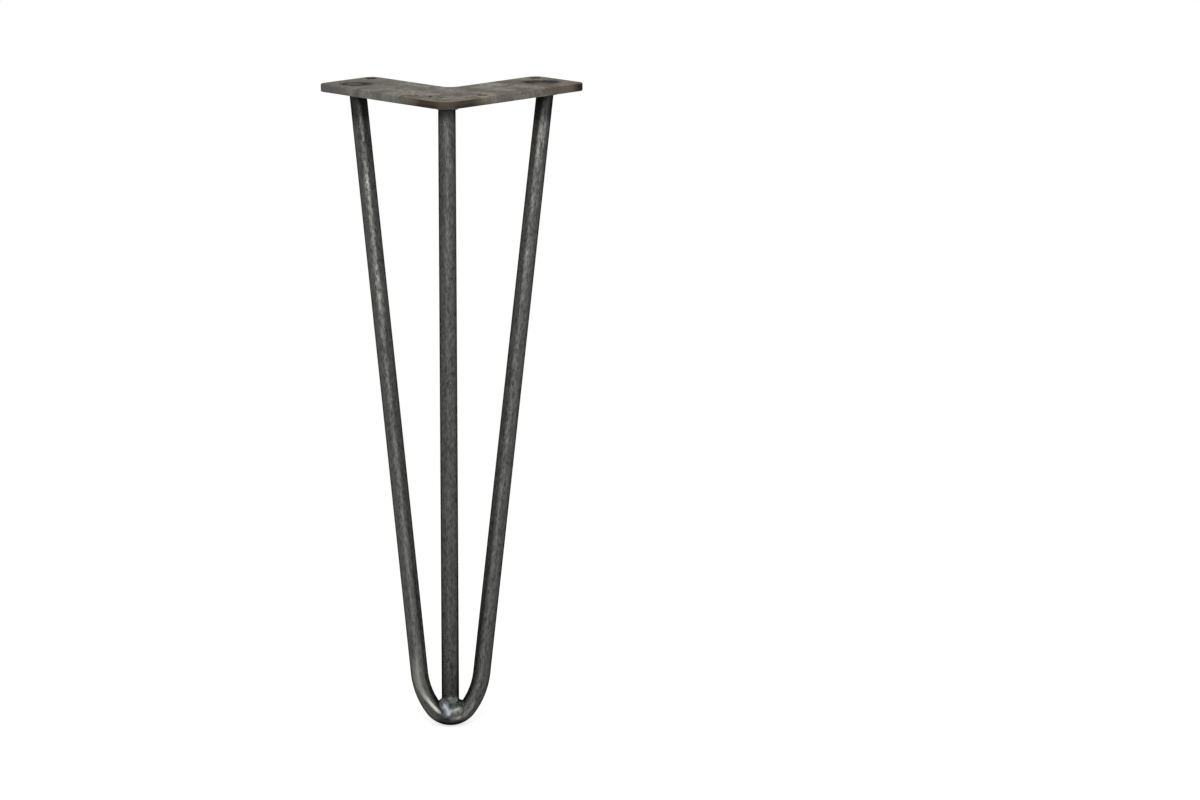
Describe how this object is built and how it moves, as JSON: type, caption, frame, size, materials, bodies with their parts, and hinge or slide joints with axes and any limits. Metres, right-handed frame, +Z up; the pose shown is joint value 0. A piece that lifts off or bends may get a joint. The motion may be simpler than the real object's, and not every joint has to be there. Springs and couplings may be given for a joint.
{
  "type": "hairpin table leg",
  "caption": "Bare steel hairpin table leg: a flat L-shaped screw plate over a bent round bar and a straight front rod that are welded together at the foot.",
  "frame": {"origin": "on the plate's top face, where the centre lines of its two arms cross, midway between the two corner screw holes", "axes": "+Z up out of the mounting face into the table top; -Y out of the table's corner, along the plate's line of symmetry; X across, so the plane X = 0 mirrors the leg"},
  "size_m": [0.1522, 0.1435, 0.3549],
  "materials": {
    "plate_steel": "bare hot-rolled mild steel plate, mottled, with dark heat marks over the welds",
    "rod_steel": "bare round mild steel bar with dark mill scale and rubbed bright streaks",
    "weld_steel": "bare weld metal, rippled"
  },
  "bodies": {
    "root": {"mounting_plate": "plate_steel", "hairpin_rod": "rod_steel", "front_rod": "rod_steel", "front_plate_weld": "weld_steel", "left_plate_weld": "weld_steel", "right_plate_weld": "weld_steel", "foot_weld": "weld_steel"}
  },
  "joints": []
}
